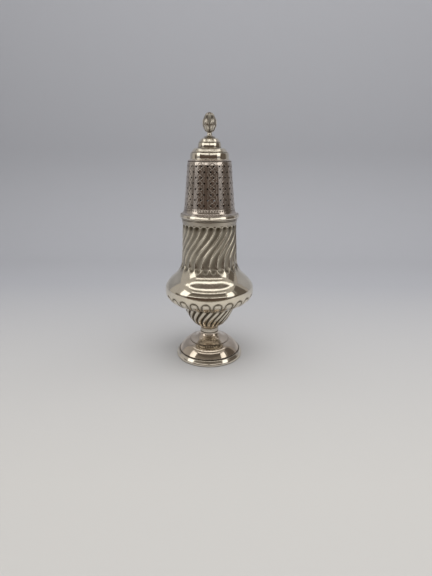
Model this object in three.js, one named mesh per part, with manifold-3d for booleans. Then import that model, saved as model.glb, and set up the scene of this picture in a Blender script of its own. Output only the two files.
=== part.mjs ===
// Footed salt shaker in silver: a spiral fluted body on a domed foot, and a pierced lift-off cover.
// Units are millimetres, +Z is up, and the foot stands on z = 0 with its centre on the Z axis.
import * as THREE from 'three';
import { mergeVertices } from 'three/addons/utils/BufferGeometryUtils.js';
import Module from 'manifold-3d';

// Heights of the joints between pieces
const Z_RIM_TOP = 3.2;
const Z_FOOT_TOP = 13.9;
const Z_BOWL_BASE = 16.9;
const Z_BELLY_SEAM = 44.5;
const Z_NECK_TOP = 76;
const Z_COVER_JOINT = 78.9;
const Z_GIRDLE_TOP = 81;
const Z_WALL_TOP = 107.7;
const Z_CAP_TOP = 118.1;
const Z_SEAT_TOP = 118.8;
const Z_TOP = 130;

// Heights of the bends within the pieces
const Z_FOOT_STEP = 9;
const Z_BULB_BASE = 18.3;
const Z_WAIST = 30.3;
const Z_EQUATOR = 38.9;
const Z_BELLY_TURN = 41.75;
const Z_SHOULDER_BEND = 46.45;
const Z_NECK_BASE = 55;
const Z_GIRDLE_WIDEST = 79.6;
const Z_FLARE_TOP = 85;
const Z_WALL_SHOULDER = 105.2;
const Z_LOWER_TIER = 111.2;
const Z_UPPER_TIER_BASE = 113.4;
const Z_UPPER_TIER = 115.8;
const Z_BUD_BASE = 120.4;
const Z_BUD_WIDEST = 123.9;

// Radii of the body
const R_RIM = 18.9;
const R_RIM_BORE = 15.4;
const R_FOOT = 17.0;
const R_FOOT_STEP = 11.2;
const R_STEM = 5.15;
const R_WAIST = 14.5;
const R_EQUATOR = 24.35;
const R_BELLY_SEAM = 22.4;
const R_SHOULDER_BEND = 20.5;
const R_NECK_BASE = 15.0;
const R_NECK = 14.2;
const R_NECK_BORE = 12.95;
const R_COLLAR = 14.55;

// Radii of the cover
const R_SLEEVE = 12.6;
const R_SLEEVE_BORE = 12.0;
const R_GIRDLE = 15.6;
const R_GIRDLE_BORE = 13.0;
const R_WALL_BASE = 13.1;
const R_WALL_TOP = 11.35;
const R_LOWER_TIER = 9.9;
const R_UPPER_TIER = 5.9;
const R_SEAT = 2.7;
const R_STUD = 0.7;
const R_STUD_HOLE = 1.0;
const R_NUT = 2.0;
const R_NUT_HOLE = 1.15;
const NUT_HEIGHT = 1.6;
const STUD_DEPTH = 3.2;
const R_FINIAL_STEM = 1.2;
const R_BUD = 3.45;

// Thickness of the sheet and of the chased bowl, and how far the loose sleeve reaches into the neck
const WALL = 0.8;
const SHELL = 0.95;
const SLEEVE_DEPTH = 8.9;

// Spiral flutes of the neck: hollow channels between sharp ridges
const FLUTES = 24;
const FLUTE_DEPTH = 0.5;
const FLUTE_TWIST = THREE.MathUtils.degToRad(41);
const FLUTE_SHIFT = THREE.MathUtils.degToRad(-3);
const Z_FLUTE_FOOT = 51;

// Swirled lobes of the bowl: rounded pads between sharp valleys
const LOBES = 24;
const LOBE_DEPTH = 0.65;
const LOBE_TWIST = THREE.MathUtils.degToRad(28);
const LOBE_SHIFT = THREE.MathUtils.degToRad(4);
const Z_LOBE_HEAD = 38.2;

// Leaves of the bud, in two whorls
const LEAVES = 6;
const LEAF_DEPTH = 0.45;

// Round holes pierced through the cover wall, in staggered rows
const HOLE_ROWS = 8;
const HOLES_PER_ROW = 24;
const HOLE_RADIUS = 0.45;
const HOLE_SIDES = 6;
const Z_HOLES_LOW = 86;
const Z_HOLES_HIGH = 104.6;

// Mesh fineness
const ROUND_STEPS = 36;
const CURVE_STEPS = 3;
const STEPS_PER_FLUTE = 3;
const STEPS_PER_LOBE = 3;
const STEPS_PER_LEAF = 4;

const wasm = await Module();
wasm.setup();

const silver = { color: 0xcfcac0, metalness: 1, roughness: 0.2 };
const paleSilver = { color: 0xd8d4ca, metalness: 1, roughness: 0.16 };
const darkSilver = { color: 0x9c968a, metalness: 1, roughness: 0.34 };

const shaker = new THREE.Group();

// A named piece with its own finish
function addPiece(name, geometry, finish) {
  const mesh = new THREE.Mesh(geometry, new THREE.MeshStandardMaterial(finish));
  mesh.name = name;
  shaker.add(mesh);
}

// An outline of radius and height, started at its first point
function outlineFrom(radius, height) {
  return new THREE.Path().moveTo(radius, height);
}

// An outline spun about the Z axis
function turned(outline, curveSteps = CURVE_STEPS, roundSteps = ROUND_STEPS) {
  const lathe = new THREE.LatheGeometry(outline.getPoints(curveSteps), roundSteps);
  return lathe.rotateX(Math.PI / 2);
}

// Zero below the low edge, one above the high edge, and a smooth rise between them
function rise(value, low, high) {
  return THREE.MathUtils.smoothstep(value, low, high);
}

// A turned piece whose skin, the first points of its outline, takes a relief. The relief gives
// each point a turn about the Z axis and a depth into the skin, and the inside takes the turn only.
function reliefTurned(skin, inside, roundSteps, shift, relief) {
  const outline = skin.concat(inside);
  const geometry = new THREE.LatheGeometry(outline, roundSteps).rotateX(Math.PI / 2);
  const place = geometry.attributes.position;
  for (let i = 0; i < place.count; i += 1) {
    const along = i % outline.length;
    const around = (Math.floor(i / outline.length) * 2 * Math.PI) / roundSteps;
    const isSkin = along < skin.length && outline[along].x > 0;
    const { depth, turn } = relief(around, outline[along].y);
    const radius = outline[along].x - (isSkin ? depth : 0);
    const angle = around - Math.PI / 2 + shift + turn;
    place.setXY(i, radius * Math.cos(angle), radius * Math.sin(angle));
  }
  return geometry;
}

// The solid of a closed geometry
function solidOf(geometry) {
  const bare = geometry.clone();
  bare.deleteAttribute('normal');
  bare.deleteAttribute('uv');
  const merged = mergeVertices(bare);
  return new wasm.Manifold(new wasm.Mesh({
    numProp: 3,
    vertProperties: new Float32Array(merged.attributes.position.array),
    triVerts: new Uint32Array(merged.index.array),
  }));
}

// The geometry of a solid
function geometryOf(solid) {
  const mesh = solid.getMesh();
  const geometry = new THREE.BufferGeometry();
  geometry.setAttribute('position', new THREE.BufferAttribute(mesh.vertProperties, 3));
  geometry.setIndex(new THREE.BufferAttribute(mesh.triVerts, 1));
  geometry.computeVertexNormals();
  return geometry;
}

// Rim wire round the bottom of the foot, with the flat ring that the shaker stands on
function footRim() {
  const outline = outlineFrom(R_RIM_BORE, 0)
    .lineTo(R_RIM - 0.3, 0)
    .quadraticCurveTo(R_RIM + 0.1, 0.1, R_RIM, 1.2)
    .quadraticCurveTo(R_RIM - 0.15, Z_RIM_TOP - 0.4, R_FOOT + 0.3, Z_RIM_TOP)
    .lineTo(R_RIM_BORE, Z_RIM_TOP)
    .lineTo(R_RIM_BORE, 0);
  return turned(outline);
}

// Domed foot: a convex tier, a small step, and a hollow cone up to the stem
function footDome() {
  const outline = outlineFrom(R_FOOT, Z_RIM_TOP)
    .lineTo(R_FOOT, Z_RIM_TOP + 0.3)
    .quadraticCurveTo(R_FOOT - 1.1, Z_FOOT_STEP - 3.6, R_FOOT - 2.5, Z_FOOT_STEP - 2.1)
    .quadraticCurveTo(R_FOOT - 3.6, Z_FOOT_STEP - 1, R_FOOT_STEP, Z_FOOT_STEP)
    .lineTo(R_FOOT_STEP, Z_FOOT_STEP + 0.3)
    .lineTo(R_FOOT_STEP - 0.4, Z_FOOT_STEP + 0.45)
    .quadraticCurveTo(R_STEM + 0.85, Z_FOOT_STEP + 1.6, R_STEM, Z_FOOT_TOP)
    .lineTo(R_STEM - WALL, Z_FOOT_TOP)
    .quadraticCurveTo(R_STEM + 0.15, Z_FOOT_STEP + 0.7, R_FOOT_STEP - WALL, Z_FOOT_STEP - WALL)
    .quadraticCurveTo(R_FOOT - 3, Z_FOOT_STEP - 2 - WALL, R_FOOT - WALL, Z_RIM_TOP)
    .lineTo(R_FOOT, Z_RIM_TOP);
  return turned(outline);
}

// Stem collar that joins the foot to the bowl, with a groove at its lower edge
function stemCollar() {
  const outline = outlineFrom(0, Z_FOOT_TOP)
    .lineTo(R_STEM, Z_FOOT_TOP)
    .lineTo(R_STEM - 0.25, Z_FOOT_TOP + 0.25)
    .lineTo(R_STEM, Z_FOOT_TOP + 0.5)
    .quadraticCurveTo(R_STEM - 0.15, Z_BOWL_BASE - 1.3, R_STEM + 0.2, Z_BOWL_BASE)
    .lineTo(0, Z_BOWL_BASE);
  return turned(outline);
}

// Bowl: a small bulb, a waist, and the underside of the belly up to its seam
function lowerBowl() {
  const outer = outlineFrom(0, Z_BOWL_BASE)
    .lineTo(R_STEM + 0.25, Z_BOWL_BASE)
    .lineTo(R_STEM + 1.25, Z_BULB_BASE)
    .quadraticCurveTo(R_WAIST - 3.5, Z_BULB_BASE + 1.5, R_WAIST, Z_WAIST)
    .quadraticCurveTo(R_EQUATOR, Z_WAIST + 3.5, R_EQUATOR, Z_EQUATOR)
    .quadraticCurveTo(R_EQUATOR, Z_BELLY_TURN - 0.95, R_EQUATOR - 0.25, Z_BELLY_TURN)
    .quadraticCurveTo(R_EQUATOR - 0.6, Z_BELLY_SEAM - 1.55, R_BELLY_SEAM, Z_BELLY_SEAM);
  const inner = outlineFrom(R_BELLY_SEAM - SHELL, Z_BELLY_SEAM)
    .quadraticCurveTo(R_EQUATOR - SHELL, Z_BELLY_SEAM - 3.2, R_EQUATOR - SHELL, Z_EQUATOR)
    .quadraticCurveTo(R_EQUATOR - SHELL - 0.2, Z_WAIST + 4.6, R_WAIST - 1.2, Z_WAIST + 1.3)
    .lineTo(R_WAIST - 1.6, Z_WAIST)
    .quadraticCurveTo(R_WAIST - 4.9, Z_BULB_BASE + 2.9, R_STEM, Z_BULB_BASE + SHELL)
    .lineTo(0, Z_BULB_BASE + SHELL);
  const relief = (around, height) => {
    const valley = 1 - Math.abs(Math.sin((around * LOBES) / 2));
    const fadeIn = rise(height, Z_BOWL_BASE, Z_BULB_BASE + 2);
    const fadeOut = 1 - rise(height, Z_LOBE_HEAD - 3, Z_LOBE_HEAD);
    return {
      depth: LOBE_DEPTH * valley * fadeIn * fadeOut,
      turn: -LOBE_TWIST * (1 - rise(height, Z_BULB_BASE + 2, Z_WAIST + 3.5)),
    };
  };
  return reliefTurned(outer.getPoints(4), inner.getPoints(2), LOBES * STEPS_PER_LOBE, LOBE_SHIFT, relief);
}

// Upper body: the hollow shoulder and the spiral fluted neck
function upperBody() {
  const outer = outlineFrom(R_BELLY_SEAM, Z_BELLY_SEAM)
    .quadraticCurveTo(R_BELLY_SEAM - 0.93, Z_BELLY_SEAM + 1.1, R_SHOULDER_BEND, Z_SHOULDER_BEND)
    .quadraticCurveTo(R_NECK_BASE + 0.6, Z_SHOULDER_BEND + 4.25, R_NECK_BASE, Z_NECK_BASE)
    .quadraticCurveTo(R_NECK + 0.4, Z_NECK_BASE + 7, R_NECK, Z_NECK_TOP);
  const inner = outlineFrom(R_NECK_BORE, Z_NECK_TOP)
    .lineTo(R_NECK_BORE, Z_NECK_TOP - 6)
    .lineTo(R_NECK_BORE, Z_NECK_TOP - 12)
    .lineTo(R_NECK_BORE, Z_NECK_BASE + 3.5)
    .lineTo(R_NECK_BASE - 1.3, Z_NECK_BASE)
    .quadraticCurveTo(R_NECK_BASE - 0.4, Z_SHOULDER_BEND + 3.3, R_SHOULDER_BEND - 1.1, Z_SHOULDER_BEND - 0.5)
    .lineTo(R_BELLY_SEAM - SHELL, Z_BELLY_SEAM);
  const relief = (around, height) => {
    const channel = Math.abs(Math.sin((around * FLUTES) / 2));
    return {
      depth: FLUTE_DEPTH * channel * rise(height, Z_FLUTE_FOOT, Z_FLUTE_FOOT + 5),
      turn: -FLUTE_TWIST * (1 - rise(height, Z_NECK_BASE + 1, Z_NECK_TOP - 0.5)),
    };
  };
  const skin = outer.getPoints(5);
  const inside = inner.getPoints(2).concat([skin[0]]);
  return reliefTurned(skin, inside, FLUTES * STEPS_PER_FLUTE, FLUTE_SHIFT, relief);
}

// Plain band round the top of the neck, with a thin lip for the cover to rest on
function neckCollar() {
  const outline = outlineFrom(R_NECK_BORE, Z_NECK_TOP)
    .lineTo(R_COLLAR - 0.25, Z_NECK_TOP)
    .lineTo(R_COLLAR, Z_COVER_JOINT - 0.95)
    .lineTo(R_COLLAR - 0.25, Z_COVER_JOINT - 0.75)
    .lineTo(R_COLLAR + 0.35, Z_COVER_JOINT - 0.5)
    .lineTo(R_COLLAR + 0.35, Z_COVER_JOINT)
    .lineTo(R_NECK_BORE, Z_COVER_JOINT)
    .lineTo(R_NECK_BORE, Z_NECK_TOP);
  return turned(outline);
}

// Loose fitting sleeve of the cover, which slides down inside the neck
function coverSleeve() {
  const outline = outlineFrom(R_SLEEVE_BORE, Z_COVER_JOINT - SLEEVE_DEPTH)
    .lineTo(R_SLEEVE, Z_COVER_JOINT - SLEEVE_DEPTH)
    .lineTo(R_SLEEVE, Z_GIRDLE_TOP)
    .lineTo(R_SLEEVE_BORE, Z_GIRDLE_TOP)
    .lineTo(R_SLEEVE_BORE, Z_COVER_JOINT - SLEEVE_DEPTH);
  return turned(outline);
}

// Bold moulding round the bottom of the cover
function coverGirdle() {
  const outline = outlineFrom(R_GIRDLE_BORE, Z_COVER_JOINT)
    .lineTo(R_COLLAR + 0.2, Z_COVER_JOINT)
    .quadraticCurveTo(R_GIRDLE, Z_COVER_JOINT + 0.1, R_GIRDLE, Z_GIRDLE_WIDEST)
    .quadraticCurveTo(R_GIRDLE, Z_GIRDLE_TOP - 0.4, R_GIRDLE - 0.65, Z_GIRDLE_TOP)
    .lineTo(R_GIRDLE_BORE, Z_GIRDLE_TOP)
    .lineTo(R_GIRDLE_BORE, Z_COVER_JOINT);
  return turned(outline);
}

// One round drill set across the cover wall
function holeDrill(angle, height) {
  const length = 4 * WALL;
  const drill = new THREE.CylinderGeometry(HOLE_RADIUS, HOLE_RADIUS, length, HOLE_SIDES);
  const middle = THREE.MathUtils.mapLinear(height, Z_FLARE_TOP, Z_WALL_SHOULDER, R_WALL_BASE, R_WALL_TOP);
  return drill.rotateZ(Math.PI / 2).translate(middle - WALL / 2, 0, height).rotateZ(angle);
}

// Pierced wall of the cover: a flared base, a tapering side and a rounded shoulder
function coverWall() {
  const middle = (R_WALL_BASE + R_WALL_TOP) / 2 - 0.1;
  const outline = outlineFrom(R_GIRDLE - 0.85, Z_GIRDLE_TOP)
    .lineTo(R_GIRDLE - 1, Z_GIRDLE_TOP + 0.3)
    .quadraticCurveTo(R_WALL_BASE + 0.3, Z_GIRDLE_TOP + 0.5, R_WALL_BASE, Z_FLARE_TOP)
    .quadraticCurveTo(middle, Z_FLARE_TOP + 10, R_WALL_TOP, Z_WALL_SHOULDER)
    .quadraticCurveTo(R_WALL_TOP - 0.1, Z_WALL_TOP - 0.7, R_WALL_TOP - 0.95, Z_WALL_TOP)
    .lineTo(R_LOWER_TIER - 0.6, Z_WALL_TOP)
    .quadraticCurveTo(R_WALL_TOP - 0.95, Z_WALL_TOP - 0.7, R_WALL_TOP - WALL, Z_WALL_SHOULDER - 0.2)
    .quadraticCurveTo(middle - WALL, Z_FLARE_TOP + 10, R_WALL_BASE - WALL, Z_FLARE_TOP)
    .lineTo(R_WALL_BASE - WALL - 0.1, Z_GIRDLE_TOP)
    .lineTo(R_GIRDLE - 0.85, Z_GIRDLE_TOP);
  let wall = solidOf(turned(outline, CURVE_STEPS, 2 * HOLES_PER_ROW));
  const pitch = (2 * Math.PI) / HOLES_PER_ROW;
  for (let row = 0; row < HOLE_ROWS; row += 1) {
    const height = THREE.MathUtils.lerp(Z_HOLES_LOW, Z_HOLES_HIGH, row / (HOLE_ROWS - 1));
    const stagger = 0.25 + (row % 2) * 0.5;
    for (let i = 0; i < HOLES_PER_ROW; i += 1) {
      wall = wall.subtract(solidOf(holeDrill((i + stagger) * pitch, height)));
    }
  }
  return geometryOf(wall);
}

// Cap of the cover: two stepped tiers, closed but for the finial's hole
function coverCap() {
  const stepHeight = Z_UPPER_TIER_BASE;
  const outline = outlineFrom(R_LOWER_TIER, Z_WALL_TOP)
    .quadraticCurveTo(R_LOWER_TIER, Z_LOWER_TIER - 1.2, R_LOWER_TIER - 0.4, Z_LOWER_TIER - 0.3)
    .lineTo(R_LOWER_TIER - 0.75, Z_LOWER_TIER)
    .lineTo(R_LOWER_TIER - 1.5, Z_LOWER_TIER + 1.15)
    .quadraticCurveTo(R_LOWER_TIER - 2, stepHeight - 0.1, R_UPPER_TIER + 0.5, stepHeight - 0.05)
    .lineTo(R_UPPER_TIER, stepHeight)
    .lineTo(R_UPPER_TIER - 0.25, Z_UPPER_TIER - 0.3)
    .lineTo(R_UPPER_TIER - 0.5, Z_UPPER_TIER + 0.2)
    .lineTo(R_UPPER_TIER - 1.2, Z_UPPER_TIER + 1.25)
    .quadraticCurveTo(R_UPPER_TIER - 1.8, Z_CAP_TOP - 0.05, R_SEAT, Z_CAP_TOP)
    .lineTo(R_STUD_HOLE, Z_CAP_TOP)
    .lineTo(R_STUD_HOLE, Z_CAP_TOP - WALL)
    .lineTo(R_SEAT + 0.5, Z_CAP_TOP - WALL)
    .quadraticCurveTo(R_UPPER_TIER - 1.4, Z_CAP_TOP - 1.1, R_UPPER_TIER - 1.1, Z_UPPER_TIER - 0.6)
    .lineTo(R_UPPER_TIER - 0.9, stepHeight - 0.6)
    .lineTo(R_UPPER_TIER + 1.5, stepHeight - 1.2)
    .quadraticCurveTo(R_LOWER_TIER - 1.4, Z_LOWER_TIER + 0.4, R_LOWER_TIER - WALL - 0.3, Z_LOWER_TIER - 0.8)
    .lineTo(R_LOWER_TIER - WALL, Z_WALL_TOP)
    .lineTo(R_LOWER_TIER, Z_WALL_TOP);
  return turned(outline);
}

// Small disc between the cap and the finial
function finialSeat() {
  const outline = outlineFrom(R_STUD_HOLE, Z_CAP_TOP)
    .lineTo(R_SEAT, Z_CAP_TOP)
    .lineTo(R_SEAT + 0.15, Z_CAP_TOP + 0.35)
    .lineTo(R_SEAT - 0.5, Z_SEAT_TOP)
    .lineTo(R_STUD_HOLE, Z_SEAT_TOP)
    .lineTo(R_STUD_HOLE, Z_CAP_TOP);
  return turned(outline, 1, ROUND_STEPS / 2);
}

// Cast bud finial with two whorls of leaves, a thin stem, and the stud that holds it
function finial() {
  const outline = outlineFrom(0, Z_CAP_TOP - STUD_DEPTH)
    .lineTo(R_STUD, Z_CAP_TOP - STUD_DEPTH)
    .lineTo(R_STUD, Z_SEAT_TOP)
    .lineTo(R_SEAT - 0.9, Z_SEAT_TOP)
    .lineTo(R_FINIAL_STEM, Z_SEAT_TOP + 0.5)
    .lineTo(R_FINIAL_STEM, Z_BUD_BASE)
    .quadraticCurveTo(R_BUD - 0.45, Z_BUD_BASE + 1.4, R_BUD, Z_BUD_WIDEST)
    .quadraticCurveTo(R_BUD + 0.1, Z_TOP - 3, R_BUD / 2, Z_TOP - 0.6)
    .quadraticCurveTo(R_BUD / 4, Z_TOP, 0, Z_TOP);
  const relief = (around, height) => {
    const lower = 1 - Math.abs(Math.cos((around * LEAVES) / 2));
    const upper = 1 - Math.abs(Math.sin((around * LEAVES) / 2));
    const climb = rise(height, Z_BUD_WIDEST + 1.1, Z_BUD_WIDEST + 2.6);
    const fade = rise(height, Z_BUD_BASE, Z_BUD_BASE + 2) * (1 - rise(height, Z_TOP - 1.5, Z_TOP));
    return { depth: LEAF_DEPTH * fade * THREE.MathUtils.lerp(lower, upper, climb), turn: 0 };
  };
  return reliefTurned(outline.getPoints(CURVE_STEPS), [], LEAVES * STEPS_PER_LEAF, 0, relief);
}

// Nut under the cap that holds the finial's stud
function finialNut() {
  const low = Z_CAP_TOP - WALL - NUT_HEIGHT;
  const outline = outlineFrom(R_NUT_HOLE, low)
    .lineTo(R_NUT, low)
    .lineTo(R_NUT, Z_CAP_TOP - WALL)
    .lineTo(R_NUT_HOLE, Z_CAP_TOP - WALL)
    .lineTo(R_NUT_HOLE, low);
  return turned(outline, 1, 6);
}

addPiece('foot_rim', footRim(), silver);
addPiece('foot_dome', footDome(), silver);
addPiece('stem_collar', stemCollar(), paleSilver);
addPiece('lower_bowl', lowerBowl(), silver);
addPiece('upper_body', upperBody(), silver);
addPiece('neck_collar', neckCollar(), paleSilver);
addPiece('cover_sleeve', coverSleeve(), darkSilver);
addPiece('cover_girdle', coverGirdle(), paleSilver);
addPiece('cover_wall', coverWall(), silver);
addPiece('cover_cap', coverCap(), silver);
addPiece('finial_seat', finialSeat(), silver);
addPiece('finial', finial(), paleSilver);
addPiece('finial_nut', finialNut(), darkSilver);

export default shaker;
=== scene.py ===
"""Footed silver salt shaker, spiral fluted, with a pierced lift-off cover, dressed over its CAD frame."""
import math

import bmesh
import bpy
import numpy as np
from mathutils import Euler, Matrix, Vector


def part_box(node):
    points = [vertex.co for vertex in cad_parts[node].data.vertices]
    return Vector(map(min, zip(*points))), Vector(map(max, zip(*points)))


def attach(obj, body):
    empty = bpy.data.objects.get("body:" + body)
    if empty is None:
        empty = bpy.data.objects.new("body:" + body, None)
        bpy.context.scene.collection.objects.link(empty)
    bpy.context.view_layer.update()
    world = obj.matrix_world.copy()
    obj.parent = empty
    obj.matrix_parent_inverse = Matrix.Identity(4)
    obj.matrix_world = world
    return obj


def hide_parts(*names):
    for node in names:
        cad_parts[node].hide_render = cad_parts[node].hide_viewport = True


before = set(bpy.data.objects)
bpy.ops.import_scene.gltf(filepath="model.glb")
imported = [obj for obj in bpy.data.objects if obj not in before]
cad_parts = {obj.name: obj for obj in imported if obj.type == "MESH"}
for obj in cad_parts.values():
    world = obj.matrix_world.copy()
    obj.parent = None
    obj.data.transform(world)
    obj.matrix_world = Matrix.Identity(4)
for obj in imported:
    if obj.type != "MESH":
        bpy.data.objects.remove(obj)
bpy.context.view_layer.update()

# Outlines are written in millimetres and built in metres
MM = 0.001

# Heights of the joints between pieces, read from the frame
RIM_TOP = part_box("foot_rim")[1][2] / MM
FOOT_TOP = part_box("foot_dome")[1][2] / MM
BOWL_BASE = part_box("lower_bowl")[0][2] / MM
BELLY_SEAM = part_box("upper_body")[0][2] / MM
SLEEVE_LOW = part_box("cover_sleeve")[0][2] / MM
NECK_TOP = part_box("upper_body")[1][2] / MM
COVER_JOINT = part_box("cover_girdle")[0][2] / MM
GIRDLE_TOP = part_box("cover_girdle")[1][2] / MM
WALL_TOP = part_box("cover_wall")[1][2] / MM
STUD_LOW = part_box("finial")[0][2] / MM
NUT_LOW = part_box("finial_nut")[0][2] / MM
NUT_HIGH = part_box("finial_nut")[1][2] / MM
CAP_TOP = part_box("cover_cap")[1][2] / MM
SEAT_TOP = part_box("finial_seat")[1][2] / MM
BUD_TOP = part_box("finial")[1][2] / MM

# Heights of the bends within the pieces, in millimetres
FOOT_STEP = 9.0
BULB_BASE = 18.3
WAIST = 30.3
EQUATOR = 38.9
BELLY_TURN = 41.75
SHOULDER_BEND = 46.45
NECK_BASE = 55
GIRDLE_WIDEST = 79.6
FLARE_TOP = 85
WALL_SHOULDER = 105.2
LOWER_TIER = 111.2
UPPER_TIER_BASE = 113.4
UPPER_TIER = 115.8
BUD_BASE = 120.4
BUD_WIDEST = 123.9

# Radii of the body, in millimetres
RIM_R = 18.9
RIM_BORE_R = 15.4
FOOT_R = 17.1
STEP_R = 11.2
STEM_R = 5.15
WAIST_R = 14.5
EQUATOR_R = 24.33
SEAM_R = 22.4
SHOULDER_R = 20.5
NECK_BASE_R = 15.0
NECK_R = 14.2
BORE_R = 12.95
COLLAR_R = 14.55

# Radii of the cover, in millimetres
SLEEVE_R = 12.6
SLEEVE_BORE_R = 12.0
GIRDLE_R = 15.6
GIRDLE_BORE_R = 13.0
WALL_BASE_R = 13.1
WALL_TOP_R = 11.35
LOWER_TIER_R = 9.9
UPPER_TIER_R = 5.9
SEAT_R = 2.7
STUD_R = 0.7
STUD_HOLE_R = 1.0
NUT_R = 2.0
NUT_HOLE_R = 1.15
FINIAL_STEM_R = 1.2
BUD_R = 3.45

# Thickness of the sheet and of the chased bowl
SHEET = 0.8
SHELL = 0.95

# Spiral flutes of the neck
FLUTES = 24
FLUTE_DEPTH = 0.5
FLUTE_TWIST = math.radians(41)
FLUTE_SHIFT = math.radians(-3)
FLUTE_FOOT = 51.8

# Swirled lobes of the bowl, with round heads of one size
LOBES = 24
LOBE_DEPTH = 0.7
LOBE_TWIST = math.radians(28)
LOBE_SHIFT = math.radians(4)
LOBE_HEAD = 38.1
LOBE_HEAD_R = 2.05

# Holes through the wall of the cover, in staggered rows
HOLE_ROWS = 8
HOLES_PER_ROW = 24
HOLE_R = 0.45
HOLES_LOW = 86.0
HOLES_HIGH = 104.6
HOLE_PITCH = 2 * math.pi / HOLES_PER_ROW
HOLE_SHIFT = 0.25
ROW_HEIGHT = (HOLES_HIGH - HOLES_LOW) / (HOLE_ROWS - 1)

# Engraving of the wall: garlands of crossed waves between borders, pips in their loops, a ring and beads
ENGRAVED = 0.035
GARLANDS_BEGIN = (84.0, 85.0)
GARLANDS_END = (105.6, 106.4)
GARLANDS = 12
GARLAND_R = 12.2
WAVE_LENGTH = 5.31
WAVE_REACH = 1.35
WAVE_LINE = 0.2
BORDER_AT = 2.1
BORDER_LINE = 0.17
PIP_GAP = 2.655
PIP_LIFT = 1.33
PIP_WIDTH = 0.3
PIP_HEIGHT = 0.35
RING_AT = 84.2
RING_LINE = 0.14
BEADS_AT = 83.2
BEAD_HEIGHT = 0.35
BEADS = 60

# Leaves of the bud, in each of two whorls
LEAVES = 6

# Mesh fineness: parts of each leg of an outline, and steps round the pieces
LEG_PARTS = 24
ROUND_STEPS = 192
COVER_STEPS = 160
SEAT_STEPS = 96
BUD_STEPS = 168
STEPS_PER_FLUTE = 18
STEPS_PER_LOBE = 18
CELL_SIDE_STEPS = 16
CELL_RISE_STEPS = 10
CELL_LOOPS = 8
SHARP_ANGLE = math.radians(40)
WELD_REACH_M = 0.000004

# Brightness of what the silver mirrors, on the cards that only reflections see
WINDOW = (1.45, 1.43, 1.38)
LAMPS = (1.2, 1.17, 1.12)
FAINT = (0.4, 0.38, 0.35)
LEFT_SILL = (0.33, 0.328, 0.335)
RIGHT_SILL = (0.26, 0.26, 0.27)
ROOM = (0.085, 0.062, 0.049)
HAZE = (0.2, 0.182, 0.16)
GLOOM = (0.115, 0.1, 0.088)
CEILING = (0.155, 0.132, 0.118)
LEFT_SIDE = (0.40, 0.386, 0.37)
RIGHT_SIDE = (0.33, 0.315, 0.305)
APRON = (0.27, 0.25, 0.215)

# Colours of the sweep of paper, near and far, the far one darker and bluer as painted shade, and of the
# plain world round it
PAPER_FRONT = (0.607, 0.59, 0.559)
PAPER_BACK = (0.45, 0.453, 0.475)
WORLD = (0.42, 0.42, 0.43)

# The ball that the cards lie on: its centre and the reach of its nearer and farther cards, in millimetres
BALL_CENTRE = (0, 0, 60)
NEAR_BALL = 1500
FAR_BALL = 1600

# Edges that the cards share, as climbs from the table in degrees
ROOM_LOW = -8
SILL_LOW = -2
SILL_TOP = 10
WINDOW_TOP = 43
UPPER_TOP = 53
EAVES = 56

# The photograph's camera: its place from the fitted ring lines, in millimetres and degrees
FRAME_WIDTH_PX = 432
FRAME_HEIGHT_PX = 576
FOCAL_PX = 390
CAMERA_AT = (3.68, -207.7, 107.3)
CAMERA_PITCH = 18.09
CAMERA_ROLL = 0.37
SENSOR_MM = 36


def outline(start, *legs, step=0.25, soften=2):
    """Evenly spaced (radius, height) points along straight legs of one point and curved legs of two."""
    fine = [np.array(start, float)]
    for leg in legs:
        begin = fine[-1]
        end = np.array(leg[-1], float)
        control = np.array(leg[0], float) if len(leg) == 2 else (begin + end) / 2
        for t in np.linspace(0, 1, LEG_PARTS + 1)[1:]:
            fine.append((1 - t) ** 2 * begin + 2 * t * (1 - t) * control + t ** 2 * end)
    fine = np.array(fine)
    along = np.concatenate([[0], np.cumsum(np.linalg.norm(np.diff(fine, axis=0), axis=1))])
    count = max(3, round(along[-1] / step) + 1)
    even = np.linspace(0, along[-1], count)
    points = np.stack([np.interp(even, along, fine[:, i]) for i in range(2)], axis=1)
    for _ in range(soften):
        points[1:-1] = (points[:-2] + 2 * points[1:-1] + points[2:]) / 4
    return points


def rise(value, low, high):
    """Zero below low, one above high, and a smooth climb between them."""
    t = np.clip((value - low) / (high - low), 0, 1)
    return t * t * (3 - 2 * t)


def soft_line(value, centre, width):
    """One at the centre of a line, fading smoothly to nothing beyond its width."""
    return np.exp(-((value - centre) / width) ** 2)


def from_middle(around, count, shift=0):
    """Zero in the middle of each repeat round the piece, and one where two repeats meet."""
    return 2 * np.abs((around * count / (2 * math.pi) + shift) % 1 - 0.5)[None, :]


def settled(profile, steps, corners, reach):
    """Tarnish gathered round given corners of an outline, for every point of the piece it is spun into."""
    dark = np.zeros(len(profile))
    for corner in corners:
        away = np.linalg.norm(profile - np.array(corner), axis=1)
        dark = np.maximum(dark, soft_line(away, 0, reach))
    return np.repeat(dark, steps)


def spun(profile, steps, relief=None):
    """Vertices, faces and tarnish of a closed outline spun round the Z axis.

    The relief gives each point a depth into the skin, a turn about the axis and a tarnish.
    """
    around = 2 * math.pi * np.arange(steps) / steps
    count = len(profile)
    tangent = np.roll(profile, -1, axis=0) - np.roll(profile, 1, axis=0)
    tangent /= np.maximum(np.linalg.norm(tangent, axis=1), 1e-9)[:, None]
    outward = np.stack([tangent[:, 1], -tangent[:, 0]], axis=1)
    depth = np.zeros((count, steps))
    turn = np.zeros((count, steps))
    dark = np.zeros((count, steps))
    if relief:
        depth, turn, dark = relief(profile, around)
    radius = profile[:, 0][:, None] - depth * outward[:, 0][:, None]
    height = profile[:, 1][:, None] - depth * outward[:, 1][:, None]
    angle = around[None, :] - math.pi / 2 + turn
    vertices = np.stack([radius * np.cos(angle), radius * np.sin(angle), height], axis=2).reshape(-1, 3)
    faces = []
    for i in range(count):
        low = i * steps
        high = ((i + 1) % count) * steps
        for j in range(steps):
            k = (j + 1) % steps
            faces.append((low + j, low + k, high + k, high + j))
    return vertices, faces, dark.ravel()


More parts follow.
